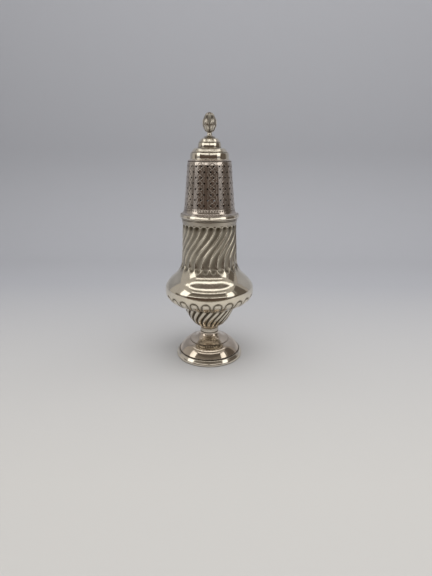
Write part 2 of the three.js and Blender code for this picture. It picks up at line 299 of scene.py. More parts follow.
def on_axis(profile, steps, relief=None):
    """Like spun, for an outline whose first and last points lie on the axis."""
    vertices, faces, dark = spun(profile, steps, relief)
    inner = len(profile) - 2
    ring = vertices[steps:-steps]
    poles = np.array([[0, 0, profile[0][1]], [0, 0, profile[-1][1]]])
    kept = [tuple(v - steps for v in face) for face in faces[steps:steps * inner]]
    first = inner * steps
    for j in range(steps):
        k = (j + 1) % steps
        kept.append((first, k, j))
        kept.append((first + 1, first - steps + j, first - steps + k))
    tones = np.concatenate([dark[steps:-steps], [0, 0]])
    return np.concatenate([ring, poles]), kept, tones


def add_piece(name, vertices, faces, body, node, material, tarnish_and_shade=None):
    """A mesh piece in millimetres that stands for a CAD node and rides with its body."""
    mesh = bpy.data.meshes.new(name)
    mesh.from_pydata((np.asarray(vertices) * MM).tolist(), [], faces)
    mesh.update()
    if tarnish_and_shade is not None:
        layer = mesh.attributes.new("tarnish_and_shade", "FLOAT", "POINT")
        layer.data.foreach_set("value", np.asarray(tarnish_and_shade, np.float32).ravel())
    mesh.shade_smooth()
    mesh.set_sharp_from_angle(angle=SHARP_ANGLE)
    piece = bpy.data.objects.new(name, mesh)
    bpy.context.scene.collection.objects.link(piece)
    mesh.materials.append(material)
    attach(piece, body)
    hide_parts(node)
    return piece


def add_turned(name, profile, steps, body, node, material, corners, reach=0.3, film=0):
    """A plain turned piece, with an even film of tarnish that gathers at the given corners."""
    vertices, faces, _ = spun(profile, steps)
    dark = np.maximum(settled(profile, steps, corners, reach), film)
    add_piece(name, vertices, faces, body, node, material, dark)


def shader(name):
    """A new node material, its nodes and links, and its Principled shader."""
    material = bpy.data.materials.new(name)
    material.use_nodes = True
    nodes = material.node_tree.nodes
    return material, nodes, material.node_tree.links, nodes["Principled BSDF"]


def silver(name, bright, dark, gloss, grime):
    """Polished silver: tarnish in the recesses, painted shade where nearby surfaces close in, cloudy toning,
    fine wipe marks and a soft bump.
    """
    material, nodes, links, surface = shader(name)
    surface.inputs["Metallic"].default_value = 1.0

    place = nodes.new("ShaderNodeTexCoord")
    recess = nodes.new("ShaderNodeAttribute")
    recess.attribute_name = "tarnish_and_shade"

    # Painted shade: ambient occlusion darkens the colour in tight corners where little light reaches
    corner = nodes.new("ShaderNodeAmbientOcclusion")
    corner.samples = 8
    corner.inputs["Distance"].default_value = 0.0016
    occlusion_shade = nodes.new("ShaderNodeMapRange")
    occlusion_shade.inputs["From Min"].default_value = 0.75
    occlusion_shade.inputs["From Max"].default_value = 0.3
    links.new(corner.outputs["AO"], occlusion_shade.inputs["Value"])

    cloud = nodes.new("ShaderNodeTexNoise")
    cloud.inputs["Scale"].default_value = 140
    cloud.inputs["Detail"].default_value = 5
    cloud.inputs["Roughness"].default_value = 0.6
    links.new(place.outputs["Object"], cloud.inputs["Vector"])
    haze = nodes.new("ShaderNodeMapRange")
    haze.inputs["From Min"].default_value = 0.45
    haze.inputs["From Max"].default_value = 0.8
    haze.inputs["To Max"].default_value = grime
    links.new(cloud.outputs["Fac"], haze.inputs["Value"])

    # The darker of the tarnish and the painted corner shade
    deep = nodes.new("ShaderNodeMath")
    deep.operation = "MAXIMUM"
    links.new(recess.outputs["Fac"], deep.inputs[0])
    links.new(occlusion_shade.outputs["Result"], deep.inputs[1])
    toned = nodes.new("ShaderNodeMath")
    toned.operation = "ADD"
    toned.use_clamp = True
    links.new(deep.outputs[0], toned.inputs[0])
    links.new(haze.outputs["Result"], toned.inputs[1])

    colour = nodes.new("ShaderNodeMix")
    colour.data_type = "RGBA"
    colour.inputs["A"].default_value = (*bright, 1)
    colour.inputs["B"].default_value = (*dark, 1)
    links.new(toned.outputs[0], colour.inputs["Factor"])
    links.new(colour.outputs["Result"], surface.inputs["Base Color"])

    wiped = nodes.new("ShaderNodeTexNoise")
    wiped.inputs["Scale"].default_value = 900
    wiped.inputs["Detail"].default_value = 3
    links.new(place.outputs["Object"], wiped.inputs["Vector"])
    matt = nodes.new("ShaderNodeMapRange")
    matt.inputs["To Min"].default_value = gloss
    matt.inputs["To Max"].default_value = gloss + 0.06
    links.new(wiped.outputs["Fac"], matt.inputs["Value"])
    rough = nodes.new("ShaderNodeMath")
    rough.operation = "MULTIPLY_ADD"
    rough.inputs[1].default_value = 0.5
    links.new(deep.outputs[0], rough.inputs[0])
    links.new(matt.outputs["Result"], rough.inputs[2])
    links.new(rough.outputs[0], surface.inputs["Roughness"])

    bump = nodes.new("ShaderNodeBump")
    bump.inputs["Strength"].default_value = 0.08
    bump.inputs["Distance"].default_value = 0.0002
    links.new(cloud.outputs["Fac"], bump.inputs["Height"])
    links.new(bump.outputs["Normal"], surface.inputs["Normal"])
    return material


def build_rim(metal):
    """Rim wire round the foot: a low belly, a sloping face and a flat underside."""
    rim = outline(
        (RIM_BORE_R, 0), [(RIM_R - 0.3, 0)], [(RIM_R + 0.03, 0.05), (RIM_R, 0.6)],
        [(RIM_R - 0.08, RIM_TOP - 1.85), (RIM_R - 0.5, RIM_TOP - 1.2)], [(RIM_R - 1.22, RIM_TOP - 0.15)],
        [(FOOT_R + 0.2, RIM_TOP)], [(RIM_BORE_R, RIM_TOP)], [(RIM_BORE_R, 0)],
        step=0.2, soften=1)[:-1]
    add_turned(
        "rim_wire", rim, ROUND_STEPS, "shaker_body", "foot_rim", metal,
        [(FOOT_R + 0.1, RIM_TOP), (RIM_R, 0)], reach=0.35)


def build_dome(metal):
    """Domed foot: a quirk above the rim, a round dome, a small step and a hollow cone up to the stem."""
    dome = outline(
        (FOOT_R, RIM_TOP), [(FOOT_R - 0.3, RIM_TOP + 0.15)], [(FOOT_R - 0.05, RIM_TOP + 0.35)],
        [(FOOT_R - 0.97, FOOT_STEP - 3.85), (FOOT_R - 1.9, FOOT_STEP - 2.8)],
        [(FOOT_R - 2.39, FOOT_STEP - 2.25), (FOOT_R - 3.05, FOOT_STEP - 1.65)],
        [(FOOT_R - 3.89, FOOT_STEP - 0.9), (STEP_R, FOOT_STEP)], [(STEP_R - 0.4, FOOT_STEP + 0.03)],
        [(STEP_R, FOOT_STEP + 0.25)], [(STEP_R - 0.35, FOOT_STEP + 0.42)],
        [(STEM_R + 3.1, FOOT_STEP + 0.95), (STEM_R + 1.6, FOOT_STEP + 2.45)],
        [(STEM_R + 0.75, FOOT_STEP + 3.25)], [(STEM_R, FOOT_STEP + 3.95), (STEM_R, FOOT_TOP)],
        step=0.13, soften=1)
    under = outline(
        (STEM_R - SHEET, FOOT_TOP), [(STEM_R + 0.15, FOOT_STEP + 0.7), (STEP_R - SHEET, FOOT_STEP - SHEET)],
        [(FOOT_R - 3, FOOT_STEP - 2 - SHEET), (FOOT_R - SHEET, RIM_TOP)], step=0.6)
    add_turned(
        "foot_shell", np.concatenate([dome, under]), ROUND_STEPS, "shaker_body", "foot_dome", metal,
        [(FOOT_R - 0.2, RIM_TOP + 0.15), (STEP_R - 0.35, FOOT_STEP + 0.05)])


def build_stem(metal):
    """Stem collar with a groove at its lower edge, under a light film of tarnish."""
    collar = outline(
        (0, FOOT_TOP), [(STEM_R, FOOT_TOP)], [(STEM_R - 0.3, FOOT_TOP + 0.25)], [(STEM_R, FOOT_TOP + 0.5)],
        [(STEM_R - 0.15, BOWL_BASE - 1.3), (STEM_R + 0.2, BOWL_BASE)], [(0, BOWL_BASE)],
        step=0.15, soften=1)
    vertices, faces, _ = on_axis(collar, ROUND_STEPS)
    corners = [(STEM_R - 0.2, FOOT_TOP + 0.25), (STEM_R + 0.2, BOWL_BASE)]
    dark = np.maximum(settled(collar[1:-1], ROUND_STEPS, corners, 0.4), 0.22)
    dark = np.concatenate([dark, [0, 0]])
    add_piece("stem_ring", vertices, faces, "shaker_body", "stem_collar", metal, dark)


def lobe_relief(skin_count):
    """Relief of the bowl: pads outlined by fine grooves above the waist, and swirled lobes below it."""
    def relief(profile, around):
        radius = profile[:, 0][:, None]
        height = profile[:, 1][:, None]
        gaps = np.linalg.norm(np.diff(profile, axis=0), axis=1)
        along = np.concatenate([[0], np.cumsum(gaps)])[:, None]
        half_pitch = np.maximum(math.pi * radius / LOBES, 0.01)
        half = np.minimum(half_pitch * 0.93, LOBE_HEAD_R)
        head = np.interp(LOBE_HEAD, profile[:skin_count, 1], along[:skin_count, 0]) - LOBE_HEAD_R
        offset = from_middle(around, LOBES)
        aside = offset * half_pitch
        above = np.maximum(along - head, 0)
        inside = half - np.hypot(aside, above)
        pad = np.sqrt(np.clip(1 - (1 - np.clip(inside / half, 0, 1)) ** 2, 0, 1))
        groove = soft_line(inside, -0.05, 0.52)
        below = 1 - rise(height, WAIST - 0.6, WAIST + 1.8)
        shape = groove * (1 - below) * 0.5 + below * (1 - pad)
        fade = rise(height, BOWL_BASE + 0.3, BULB_BASE + 1.5)
        skin = (np.arange(len(profile)) < skin_count)[:, None]
        depth = LOBE_DEPTH * shape * fade * skin
        turn = -LOBE_TWIST * (1 - rise(height, BULB_BASE + 2, WAIST + 3.5)) * skin + LOBE_SHIFT
        valley = below * rise(1 - pad, 0.05, 0.24)
        dark = np.maximum(groove * (1 - below), valley) * fade * skin
        # A darker ring in the crease at the waist, under the belly: painted shade; the grooves and the
        # valleys between the lobes are tarnish
        waist = 0.5 * soft_line(height, WAIST, 0.7) * skin
        return depth, turn + 0 * offset, np.clip(dark + waist, 0, 1) * 0.88
    return relief


def build_bowl(metal):
    """Bulb, waist and the round belly up to its seam."""
    skin = outline(
        (0, BOWL_BASE), [(STEM_R + 0.3, BOWL_BASE)],
        [(STEM_R + 0.5, BULB_BASE - 0.5), (STEM_R + 1.25, BULB_BASE)],
        [(WAIST_R - 3.5, BULB_BASE + 1.5), (WAIST_R, WAIST)],
        [(EQUATOR_R, WAIST + 3.5), (EQUATOR_R, EQUATOR)],
        [(EQUATOR_R, BELLY_TURN - 0.95), (EQUATOR_R - 0.25, BELLY_TURN)],
        [(EQUATOR_R - 0.6, BELLY_SEAM - 1.55), (SEAM_R, BELLY_SEAM)], step=0.2)
    inside = outline(
        (SEAM_R - SHELL, BELLY_SEAM), [(EQUATOR_R - SHELL, BELLY_SEAM - 3.2), (EQUATOR_R - SHELL, EQUATOR)],
        [(EQUATOR_R - SHELL - 0.2, WAIST + 4.6), (WAIST_R - 1.2, WAIST + 1.3)], [(WAIST_R - 1.6, WAIST)],
        [(WAIST_R - 4.9, BULB_BASE + 2.9), (STEM_R, BULB_BASE + SHELL)], [(0, BULB_BASE + SHELL)],
        step=1.5)
    profile = np.concatenate([skin, inside])
    vertices, faces, dark = on_axis(profile, LOBES * STEPS_PER_LOBE, lobe_relief(len(skin)))
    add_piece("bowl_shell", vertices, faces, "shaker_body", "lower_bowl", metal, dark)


def flute_relief(skin_count):
    """Relief of the neck: hollow channels with round ends between sharp ridges, leaning to one side."""
    def relief(profile, around):
        radius = profile[:, 0][:, None]
        height = profile[:, 1][:, None]
        offset = from_middle(around, FLUTES)
        channel = (1 - offset ** 2) ** 0.8
        half = math.pi * radius / FLUTES
        arch = half * (1 - np.sqrt(np.clip(1 - offset ** 2, 0, 1)))
        low_end = rise(height - FLUTE_FOOT - arch, -0.2, 1.4)
        high_end = rise(NECK_TOP - 0.15 - 0.6 * arch - height, -0.1, 0.7)
        skin = (np.arange(len(profile)) < skin_count)[:, None]
        shape = channel * low_end * high_end * skin
        depth = FLUTE_DEPTH * shape
        turn = -FLUTE_TWIST * (1 - rise(height, NECK_BASE + 1, NECK_TOP - 0.5)) * skin + FLUTE_SHIFT
        trough = 1 - offset ** 3
        film = 0.26 * rise(height, FLUTE_FOOT + 1, FLUTE_FOOT + 5)
        top_dark = 0.55 * rise(height, NECK_TOP - 4, NECK_TOP - 0.5)
        foot_dark = 0.6 * soft_line(height, FLUTE_FOOT + arch + 0.6, 1.3) * trough
        dark = (film + shape * (0.3 * trough + top_dark) + foot_dark) * skin
        return depth, turn + 0 * offset, dark
    return relief


def build_neck(metal):
    """Hollow shoulder and spiral fluted neck."""
    skin = outline(
        (SEAM_R, BELLY_SEAM), [(SEAM_R - 0.93, BELLY_SEAM + 1.1), (SHOULDER_R, SHOULDER_BEND)],
        [(NECK_BASE_R + 0.6, SHOULDER_BEND + 4.25), (NECK_BASE_R, NECK_BASE)],
        [(NECK_R + 0.4, NECK_BASE + 7), (NECK_R, NECK_TOP)], step=0.22)
    inside = outline(
        (BORE_R, NECK_TOP), [(BORE_R, NECK_BASE + 3.5)], [(NECK_BASE_R - 1.3, NECK_BASE)],
        [(NECK_BASE_R - 0.4, SHOULDER_BEND + 3.3), (SHOULDER_R - 1.1, SHOULDER_BEND - 0.5)],
        [(SEAM_R - SHELL, BELLY_SEAM)], step=1.0)
    profile = np.concatenate([skin, inside])
    vertices, faces, dark = spun(profile, FLUTES * STEPS_PER_FLUTE, flute_relief(len(skin)))
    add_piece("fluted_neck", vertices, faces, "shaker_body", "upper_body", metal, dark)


def build_band(metal):
    """Plain leaning band at the mouth of the neck, a quirk and the lip that the cover rests on."""
    band = outline(
        (BORE_R, NECK_TOP), [(COLLAR_R - 0.35, NECK_TOP)], [(COLLAR_R - 0.25, NECK_TOP + 0.2)],
        [(COLLAR_R, COVER_JOINT - 1)], [(COLLAR_R - 0.3, COVER_JOINT - 0.85)],
        [(COLLAR_R + 0.4, COVER_JOINT - 0.55)], [(COLLAR_R + 0.4, COVER_JOINT - 0.15)],
        [(COLLAR_R + 0.1, COVER_JOINT)], [(BORE_R, COVER_JOINT)], [(BORE_R, NECK_TOP)],
        step=0.12, soften=1)[:-1]
    corners = [(COLLAR_R - 0.3, COVER_JOINT - 0.75), (COLLAR_R + 0.1, COVER_JOINT), (COLLAR_R, NECK_TOP)]
    add_turned(
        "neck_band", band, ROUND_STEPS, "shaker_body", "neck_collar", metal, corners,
        film=0.4)


def build_sleeve(metal):
    """Loose sleeve of the cover inside the neck."""
    sleeve = outline(
        (SLEEVE_BORE_R, SLEEVE_LOW), [(SLEEVE_R, SLEEVE_LOW)], [(SLEEVE_R, GIRDLE_TOP)],
        [(SLEEVE_BORE_R, GIRDLE_TOP)], [(SLEEVE_BORE_R, SLEEVE_LOW)], step=0.3, soften=1)[:-1]
    vertices, faces, _ = spun(sleeve, COVER_STEPS)
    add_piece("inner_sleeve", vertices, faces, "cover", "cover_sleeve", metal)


def build_girdle(metal):
    """Bold moulding round the bottom of the cover."""
    girdle = outline(
        (GIRDLE_BORE_R, COVER_JOINT), [(COLLAR_R + 0.2, COVER_JOINT)],
        [(GIRDLE_R - 0.05, COVER_JOINT + 0.05), (GIRDLE_R, GIRDLE_WIDEST)],
        [(GIRDLE_R - 0.13, GIRDLE_WIDEST + 0.6), (GIRDLE_R - 0.29, GIRDLE_TOP - 0.2)],
        [(GIRDLE_R - 0.65, GIRDLE_TOP)], [(GIRDLE_BORE_R, GIRDLE_TOP)], [(GIRDLE_BORE_R, COVER_JOINT)],
        step=0.12, soften=1)[:-1]
    add_turned(
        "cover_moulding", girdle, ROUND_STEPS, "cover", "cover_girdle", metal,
        [(GIRDLE_R - 0.8, GIRDLE_TOP), (COLLAR_R + 0.2, COVER_JOINT)])


def engraving(angle, height):
    """Depth of the engraving from 0 to 1: upright garlands of crossed waves between fine border lines."""
    pitch = 2 * math.pi / GARLANDS
    offset = ((angle + pitch / 4) % pitch - pitch / 2) * GARLAND_R
    wave = WAVE_REACH * np.sin(2 * math.pi * height / WAVE_LENGTH)
    lines = soft_line(offset, wave, WAVE_LINE) + soft_line(offset, -wave, WAVE_LINE)
    border = 0.7 * soft_line(np.abs(offset), BORDER_AT, BORDER_LINE)
    from_pip = (height + PIP_LIFT) % PIP_GAP - PIP_LIFT
    pips = soft_line(offset, 0, PIP_WIDTH) * soft_line(from_pip, 0, PIP_HEIGHT)
    shown = rise(height, *GARLANDS_BEGIN) * (1 - rise(height, *GARLANDS_END))
    ring = soft_line(height, RING_AT, RING_LINE)
    beads = soft_line(height, BEADS_AT, BEAD_HEIGHT) * (0.5 + 0.5 * np.cos(angle * BEADS))
    return np.clip((lines + border + pips) * shown + ring + beads, 0, 1)


def wall_outlines():
    """The wall's skin from the girdle up to the cap, and its inside from the cap back down."""
    middle = (WALL_BASE_R + WALL_TOP_R) / 2 - 0.1
    skin = outline(
        (GIRDLE_R - 0.85, GIRDLE_TOP), [(GIRDLE_R - 1, GIRDLE_TOP + 0.3)],
        [(WALL_BASE_R + 0.3, GIRDLE_TOP + 0.5), (WALL_BASE_R, FLARE_TOP)],
        [(middle, FLARE_TOP + 10), (WALL_TOP_R, WALL_SHOULDER)], [(WALL_TOP_R - 0.2, WALL_TOP - 1.1)],
        [(WALL_TOP_R - 0.5, WALL_TOP - 0.85)], [(WALL_TOP_R - 0.25, WALL_TOP - 0.55)],
        [(WALL_TOP_R - 0.4, WALL_TOP - 0.15), (WALL_TOP_R - 1.05, WALL_TOP)], step=0.15, soften=1)
    inside = outline(
        (LOWER_TIER_R - 0.6, WALL_TOP),
        [(WALL_TOP_R - 0.95, WALL_TOP - 0.7), (WALL_TOP_R - SHEET, WALL_SHOULDER - 0.2)],
        [(middle - SHEET, FLARE_TOP + 10), (WALL_BASE_R - SHEET, FLARE_TOP)],
        [(WALL_BASE_R - SHEET - 0.1, GIRDLE_TOP)], step=0.8, soften=1)
    return skin, inside


def radius_on(side, height):
    """Radius of one side of the wall at a height."""
    return np.interp(height, side[:, 1], side[:, 0])


def ring_at(radius, angle, height):
    """Points at the given radii, turns and heights."""
    return np.stack([radius * np.cos(angle), radius * np.sin(angle), height], axis=1)


def add_cells(vertices, faces, side, loops, engraved):
    """Adds one side of the wall round its holes, cell by cell, and returns each hole's ring of vertices."""
    across = np.linspace(-0.5, 0.5, CELL_SIDE_STEPS + 1)
    up = np.linspace(-0.5, 0.5, CELL_RISE_STEPS + 1)
    edge = [(x, -0.5) for x in across[:-1]] + [(0.5, y) for y in up[:-1]]
    edge += [(x, 0.5) for x in across[::-1][:-1]] + [(-0.5, y) for y in up[::-1][:-1]]
    edge = np.array(edge)
    count = len(edge)
    rings = []
    for row in range(HOLE_ROWS):
        middle = HOLES_LOW + row * ROW_HEIGHT
        scale = radius_on(side, middle)
        flat = np.stack([edge[:, 0] * HOLE_PITCH * scale, edge[:, 1] * ROW_HEIGHT], axis=1)
        hole = flat * (HOLE_R / np.linalg.norm(flat, axis=1))[:, None]
        for cell in range(HOLES_PER_ROW):
            centre = (cell + HOLE_SHIFT + (row % 2) * 0.5) * HOLE_PITCH
            first = len(vertices)
            for loop in range(loops + 1):
                t = (loop / loops) ** 1.3
                spot = hole * (1 - t) + flat * t
                angle = centre + spot[:, 0] / scale
                height = middle + spot[:, 1]
                radius = radius_on(side, height)
                if engraved:
                    radius = radius - ENGRAVED * engraving(angle, height)
                vertices.extend(ring_at(radius, angle, height))
            for loop in range(loops):
                low = first + loop * count
                for j in range(count):
                    k = (j + 1) % count
                    around = (low + j, low + count + j, low + count + k, low + k)
                    faces.append(around if engraved else around[::-1])
            rings.append(range(first, first + count))
    return rings


def add_belt(vertices, faces, points, engraved):
    """Adds a ring of vertices round the axis for each (radius, height) point, and the faces between them."""
    total = HOLES_PER_ROW * CELL_SIDE_STEPS
    angle = 2 * math.pi * (np.arange(total) / total) + (HOLE_SHIFT - 0.5) * HOLE_PITCH
    first = len(vertices)
    for radius, climb in points:
        height = np.full(total, climb)
        cut = ENGRAVED * engraving(angle, height) if engraved else 0
        vertices.extend(ring_at(radius - cut, angle, height))
    for i in range(len(points) - 1):
        low = first + i * total
        for j in range(total):
            k = (j + 1) % total
            faces.append((low + j, low + k, low + total + k, low + total + j))


def build_wall(metal):
    """Pierced and engraved wall: cells round the holes between a flared base and a rounded shoulder."""
    skin, inside = wall_outlines()
    inward = inside[::-1]
    vertices = []
    faces = []
    outer_rings = add_cells(vertices, faces, skin, loops=CELL_LOOPS, engraved=True)
    inner_rings = add_cells(vertices, faces, inward, loops=1, engraved=False)
    for near, far in zip(outer_rings, inner_rings):
        for j in range(len(near)):
            k = (j + 1) % len(near)
            faces.append((near[j], near[k], far[k], far[j]))

    low = HOLES_LOW - ROW_HEIGHT / 2
    high = HOLES_HIGH + ROW_HEIGHT / 2
    apart = 0.05
    low_skin = [p for p in skin if p[1] < low - apart] + [(radius_on(skin, low), low)]
    high_skin = [(radius_on(skin, high), high)] + [p for p in skin if p[1] > high + apart]
    high_inside = [p for p in inside if p[1] > high + apart] + [(radius_on(inward, high), high)]
    low_inside = [(radius_on(inward, low), low)] + [p for p in inside if p[1] < low - apart]
    engraved_rings = 5
    add_belt(vertices, faces, low_skin, engraved=True)
    add_belt(vertices, faces, high_skin[:engraved_rings], engraved=True)
    add_belt(vertices, faces, high_skin[engraved_rings - 1:] + high_inside, engraved=False)
    add_belt(vertices, faces, low_inside + [skin[0]], engraved=False)

    points = np.array(vertices)
    angle = np.arctan2(points[:, 1], points[:, 0])
    height = points[:, 2]
    on_skin = np.hypot(points[:, 0], points[:, 1]) > radius_on(inward, height) + 0.3
    quirk = soft_line(height, WALL_TOP - 0.85, 0.2)
    # The inside of the wall and the sides of its holes are painted fully dark, as painted shade that makes
    # the holes read as dark dots; the engraving and the quirk on the skin are tarnish
    dark = np.where(on_skin, np.maximum(0.68 * engraving(angle, height), quirk), 1)
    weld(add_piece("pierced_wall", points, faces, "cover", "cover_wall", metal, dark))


def weld(piece):
    """Joins the vertices that lie on each other."""
    joined = bmesh.new()
    joined.from_mesh(piece.data)
    bmesh.ops.remove_doubles(joined, verts=joined.verts, dist=WELD_REACH_M)
    bmesh.ops.recalc_face_normals(joined, faces=joined.faces)
    joined.to_mesh(piece.data)
    joined.free()
    piece.data.set_sharp_from_angle(angle=SHARP_ANGLE)


def build_cap(metal):
    """Cap of two stepped tiers, each with a leaning riser, a fine quirk and a rounded top."""
    cap = outline(
        (LOWER_TIER_R + 0.25, WALL_TOP),
        [(LOWER_TIER_R + 0.03, WALL_TOP + 0.1), (LOWER_TIER_R, WALL_TOP + 0.45)],
        [(LOWER_TIER_R, WALL_TOP + 0.8)],
        [(LOWER_TIER_R - 0.03, LOWER_TIER - 1.46), (LOWER_TIER_R - 0.21, LOWER_TIER - 0.4)],
        [(LOWER_TIER_R - 0.4, LOWER_TIER - 0.2)],
        [(LOWER_TIER_R - 0.85, LOWER_TIER - 0.15)], [(LOWER_TIER_R - 0.75, LOWER_TIER)],
        [(LOWER_TIER_R - 1.07, LOWER_TIER + 0.61), (LOWER_TIER_R - 1.5, LOWER_TIER + 1.15)],
        [(LOWER_TIER_R - 2, UPPER_TIER_BASE - 0.1), (UPPER_TIER_R + 0.5, UPPER_TIER_BASE - 0.05)],
        [(UPPER_TIER_R, UPPER_TIER_BASE)],
        [(UPPER_TIER_R, UPPER_TIER - 1.7), (UPPER_TIER_R - 0.04, UPPER_TIER - 1.3)],
        [(UPPER_TIER_R - 0.17, UPPER_TIER - 0.3)], [(UPPER_TIER_R - 0.35, UPPER_TIER - 0.1)],
        [(UPPER_TIER_R - 0.6, UPPER_TIER)], [(UPPER_TIER_R - 0.5, UPPER_TIER + 0.2)],
        [(UPPER_TIER_R - 1.2, UPPER_TIER + 1.25)],
        [(UPPER_TIER_R - 1.8, CAP_TOP - 0.05), (SEAT_R, CAP_TOP)], [(STUD_HOLE_R, CAP_TOP)],
        step=0.1, soften=1)
    under = outline(
        (STUD_HOLE_R, CAP_TOP - SHEET), [(SEAT_R + 0.5, CAP_TOP - SHEET)],
        [(UPPER_TIER_R - 1.4, CAP_TOP - 1.1), (UPPER_TIER_R - 1.1, UPPER_TIER - 0.6)],
        [(UPPER_TIER_R - 0.9, UPPER_TIER_BASE - 0.6)], [(UPPER_TIER_R + 1.5, UPPER_TIER_BASE - 1.2)],
        [(LOWER_TIER_R - 1.4, LOWER_TIER + 0.4), (LOWER_TIER_R - SHEET - 0.3, LOWER_TIER - 0.8)],
        [(LOWER_TIER_R - SHEET, WALL_TOP)], step=0.5, soften=1)
    corners = [
        (LOWER_TIER_R - 0.8, LOWER_TIER - 0.15), (UPPER_TIER_R, UPPER_TIER_BASE),
        (UPPER_TIER_R - 0.6, UPPER_TIER), (SEAT_R, CAP_TOP)]
    add_turned(
        "stepped_cap", np.concatenate([cap, under]), COVER_STEPS, "cover", "cover_cap", metal,
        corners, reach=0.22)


def build_seat(metal):
    """Small rounded disc between the cap and the finial."""
    seat = outline(
        (STUD_HOLE_R, CAP_TOP), [(SEAT_R, CAP_TOP)],
        [(SEAT_R + 0.3, CAP_TOP + 0.35), (SEAT_R - 0.6, SEAT_TOP)],
        [(STUD_HOLE_R, SEAT_TOP)], [(STUD_HOLE_R, CAP_TOP)], step=0.08, soften=1)[:-1]
    add_turned(
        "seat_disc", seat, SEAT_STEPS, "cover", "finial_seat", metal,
        [(SEAT_R, CAP_TOP), (SEAT_R - 0.8, SEAT_TOP)], reach=0.4)


def leaf_relief(profile, around):
    """Relief of the bud: two whorls of overlapping pointed leaves, with a vein down each."""
    height = profile[:, 1][:, None]
    best = np.zeros((len(profile), len(around)))
    whorls = ((0.5, BUD_BASE + 1.2, BUD_TOP - 0.7, 0.22), (0.0, BUD_BASE + 0.4, BUD_WIDEST + 3, 0.42))
    for shift, low, high, lift in whorls:
        t = np.clip((height - low) / (high - low), 0, 1)
        width = 0.8 * np.sqrt(np.clip(np.sin(math.pi * (0.15 + 0.85 * t) ** 0.85), 0, 1))
        offset = from_middle(around, LEAVES, shift)
        inside = rise(width - offset, 0, 0.14) * (t > 0) * (t < 1)
        curl = 0.35 + 0.65 * t
        edge = 0.08 * (offset / np.maximum(width, 0.05)) ** 2
        vein = 0.12 * soft_line(offset, 0, 0.08)
        best = np.maximum(best, inside * (lift * curl + edge - vein))
    fade = rise(height, BUD_BASE, BUD_BASE + 1) * (1 - 0.6 * rise(height, BUD_TOP - 1.4, BUD_TOP))
    depth = -best * fade
    shown = rise(height, BUD_BASE, BUD_BASE + 0.8) * (1 - rise(height, BUD_TOP - 2.5, BUD_TOP - 0.8))
    dark = np.clip(0.8 - 2.5 * best, 0.1, 0.7) * shown
    return depth, np.zeros_like(depth), dark


def build_bud(metal):
    """Leafy bud finial with its thin stem, and the stud below it."""
    bud = outline(
        (0, STUD_LOW), [(STUD_R, STUD_LOW)], [(STUD_R, SEAT_TOP)], [(SEAT_R - 0.9, SEAT_TOP)],
        [(FINIAL_STEM_R, SEAT_TOP + 0.2), (FINIAL_STEM_R, BUD_BASE)],
        [(BUD_R - 0.7, BUD_BASE + 1.4), (BUD_R - 0.3, BUD_WIDEST)],
        [(BUD_R - 0.2, BUD_TOP - 3), (1.5, BUD_TOP - 0.7)],
        [(0.8, BUD_TOP - 0.1), (0, BUD_TOP - 0.1)], step=0.09)
    vertices, faces, dark = on_axis(bud, BUD_STEPS, leaf_relief)
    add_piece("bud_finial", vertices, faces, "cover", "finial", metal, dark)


def build_nut(metal):
    """Six-sided nut on the stud inside the cap."""
    nut = outline(
        (NUT_HOLE_R, NUT_LOW), [(NUT_R - 0.15, NUT_LOW)], [(NUT_R, NUT_LOW + 0.15)], [(NUT_R, NUT_HIGH)],
        [(NUT_HOLE_R, NUT_HIGH)], [(NUT_HOLE_R, NUT_LOW)], step=0.2, soften=0)[:-1]
    vertices, faces, _ = spun(nut, 6)
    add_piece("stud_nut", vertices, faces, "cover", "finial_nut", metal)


def glow(name, mesh, tint):
    """Stages a mesh with an even glow that only reflections see."""
    material = bpy.data.materials.new(name)
    material.use_nodes = True
    nodes = material.node_tree.nodes
    nodes.clear()
    light = nodes.new("ShaderNodeEmission")
    light.inputs["Color"].default_value = (*tint, 1)
    out = nodes.new("ShaderNodeOutputMaterial")
    material.node_tree.links.new(light.outputs[0], out.inputs["Surface"])
    mesh.materials.append(material)
    card = bpy.data.objects.new(name, mesh)
    bpy.context.scene.collection.objects.link(card)
    card.visible_camera = False
    card.visible_diffuse = False
    card.visible_shadow = False


def reflector(name, corners, tint, reach=NEAR_BALL):
    """A glowing card on a far ball round the object, seen only in reflections.

    The corners are turns from the camera side and climbs from the table, in degrees.
    """
    low_left, low_right, high_right, high_left = (np.array(corner, float) for corner in corners)
    columns = 16
    rows = 8
    vertices = []
    for i in range(rows + 1):
        for j in range(columns + 1):
            low = low_left + (low_right - low_left) * j / columns
            high = high_left + (high_right - high_left) * j / columns
            side, climb = np.radians(low + (high - low) * i / rows)
            ray = (math.sin(side) * math.cos(climb), -math.cos(side) * math.cos(climb), math.sin(climb))
            vertices.append([(centre + reach * part) * MM for centre, part in zip(BALL_CENTRE, ray)])
    faces = []
    for i in range(rows):
        for j in range(columns):
            k = i * (columns + 1) + j
            faces.append((k, k + 1, k + columns + 2, k + columns + 1))
    mesh = bpy.data.meshes.new(name)
    mesh.from_pydata(vertices, [], faces)
    glow(name, mesh, tint)


def upright(left, right, low, high):
    """Corners of a card with upright sides and level edges."""
    return (left, low), (right, low), (right, high), (left, high)


def build_room():
    """The far cards: the dim room in front in four tiers, the grey sides and the ceiling."""
    tiers = (
        ("room", ROOM_LOW, 13, ROOM),
        ("haze", 13, 36, HAZE),
        ("gloom", 36, 50, GLOOM),
        ("between", 50, 70, HAZE),
    )
    for tier, low, high, tint in tiers:
        reflector(f"card_{tier}", upright(-80, 80, low, high), tint, FAR_BALL)
    reflector("card_left_side", upright(-125, -79, ROOM_LOW, EAVES), LEFT_SIDE, FAR_BALL + 20)
    reflector("card_right_side", upright(79, 125, ROOM_LOW, EAVES), RIGHT_SIDE, FAR_BALL + 20)
    reflector("card_ceiling", upright(-180, 180, EAVES, 89), CEILING, FAR_BALL + 40)


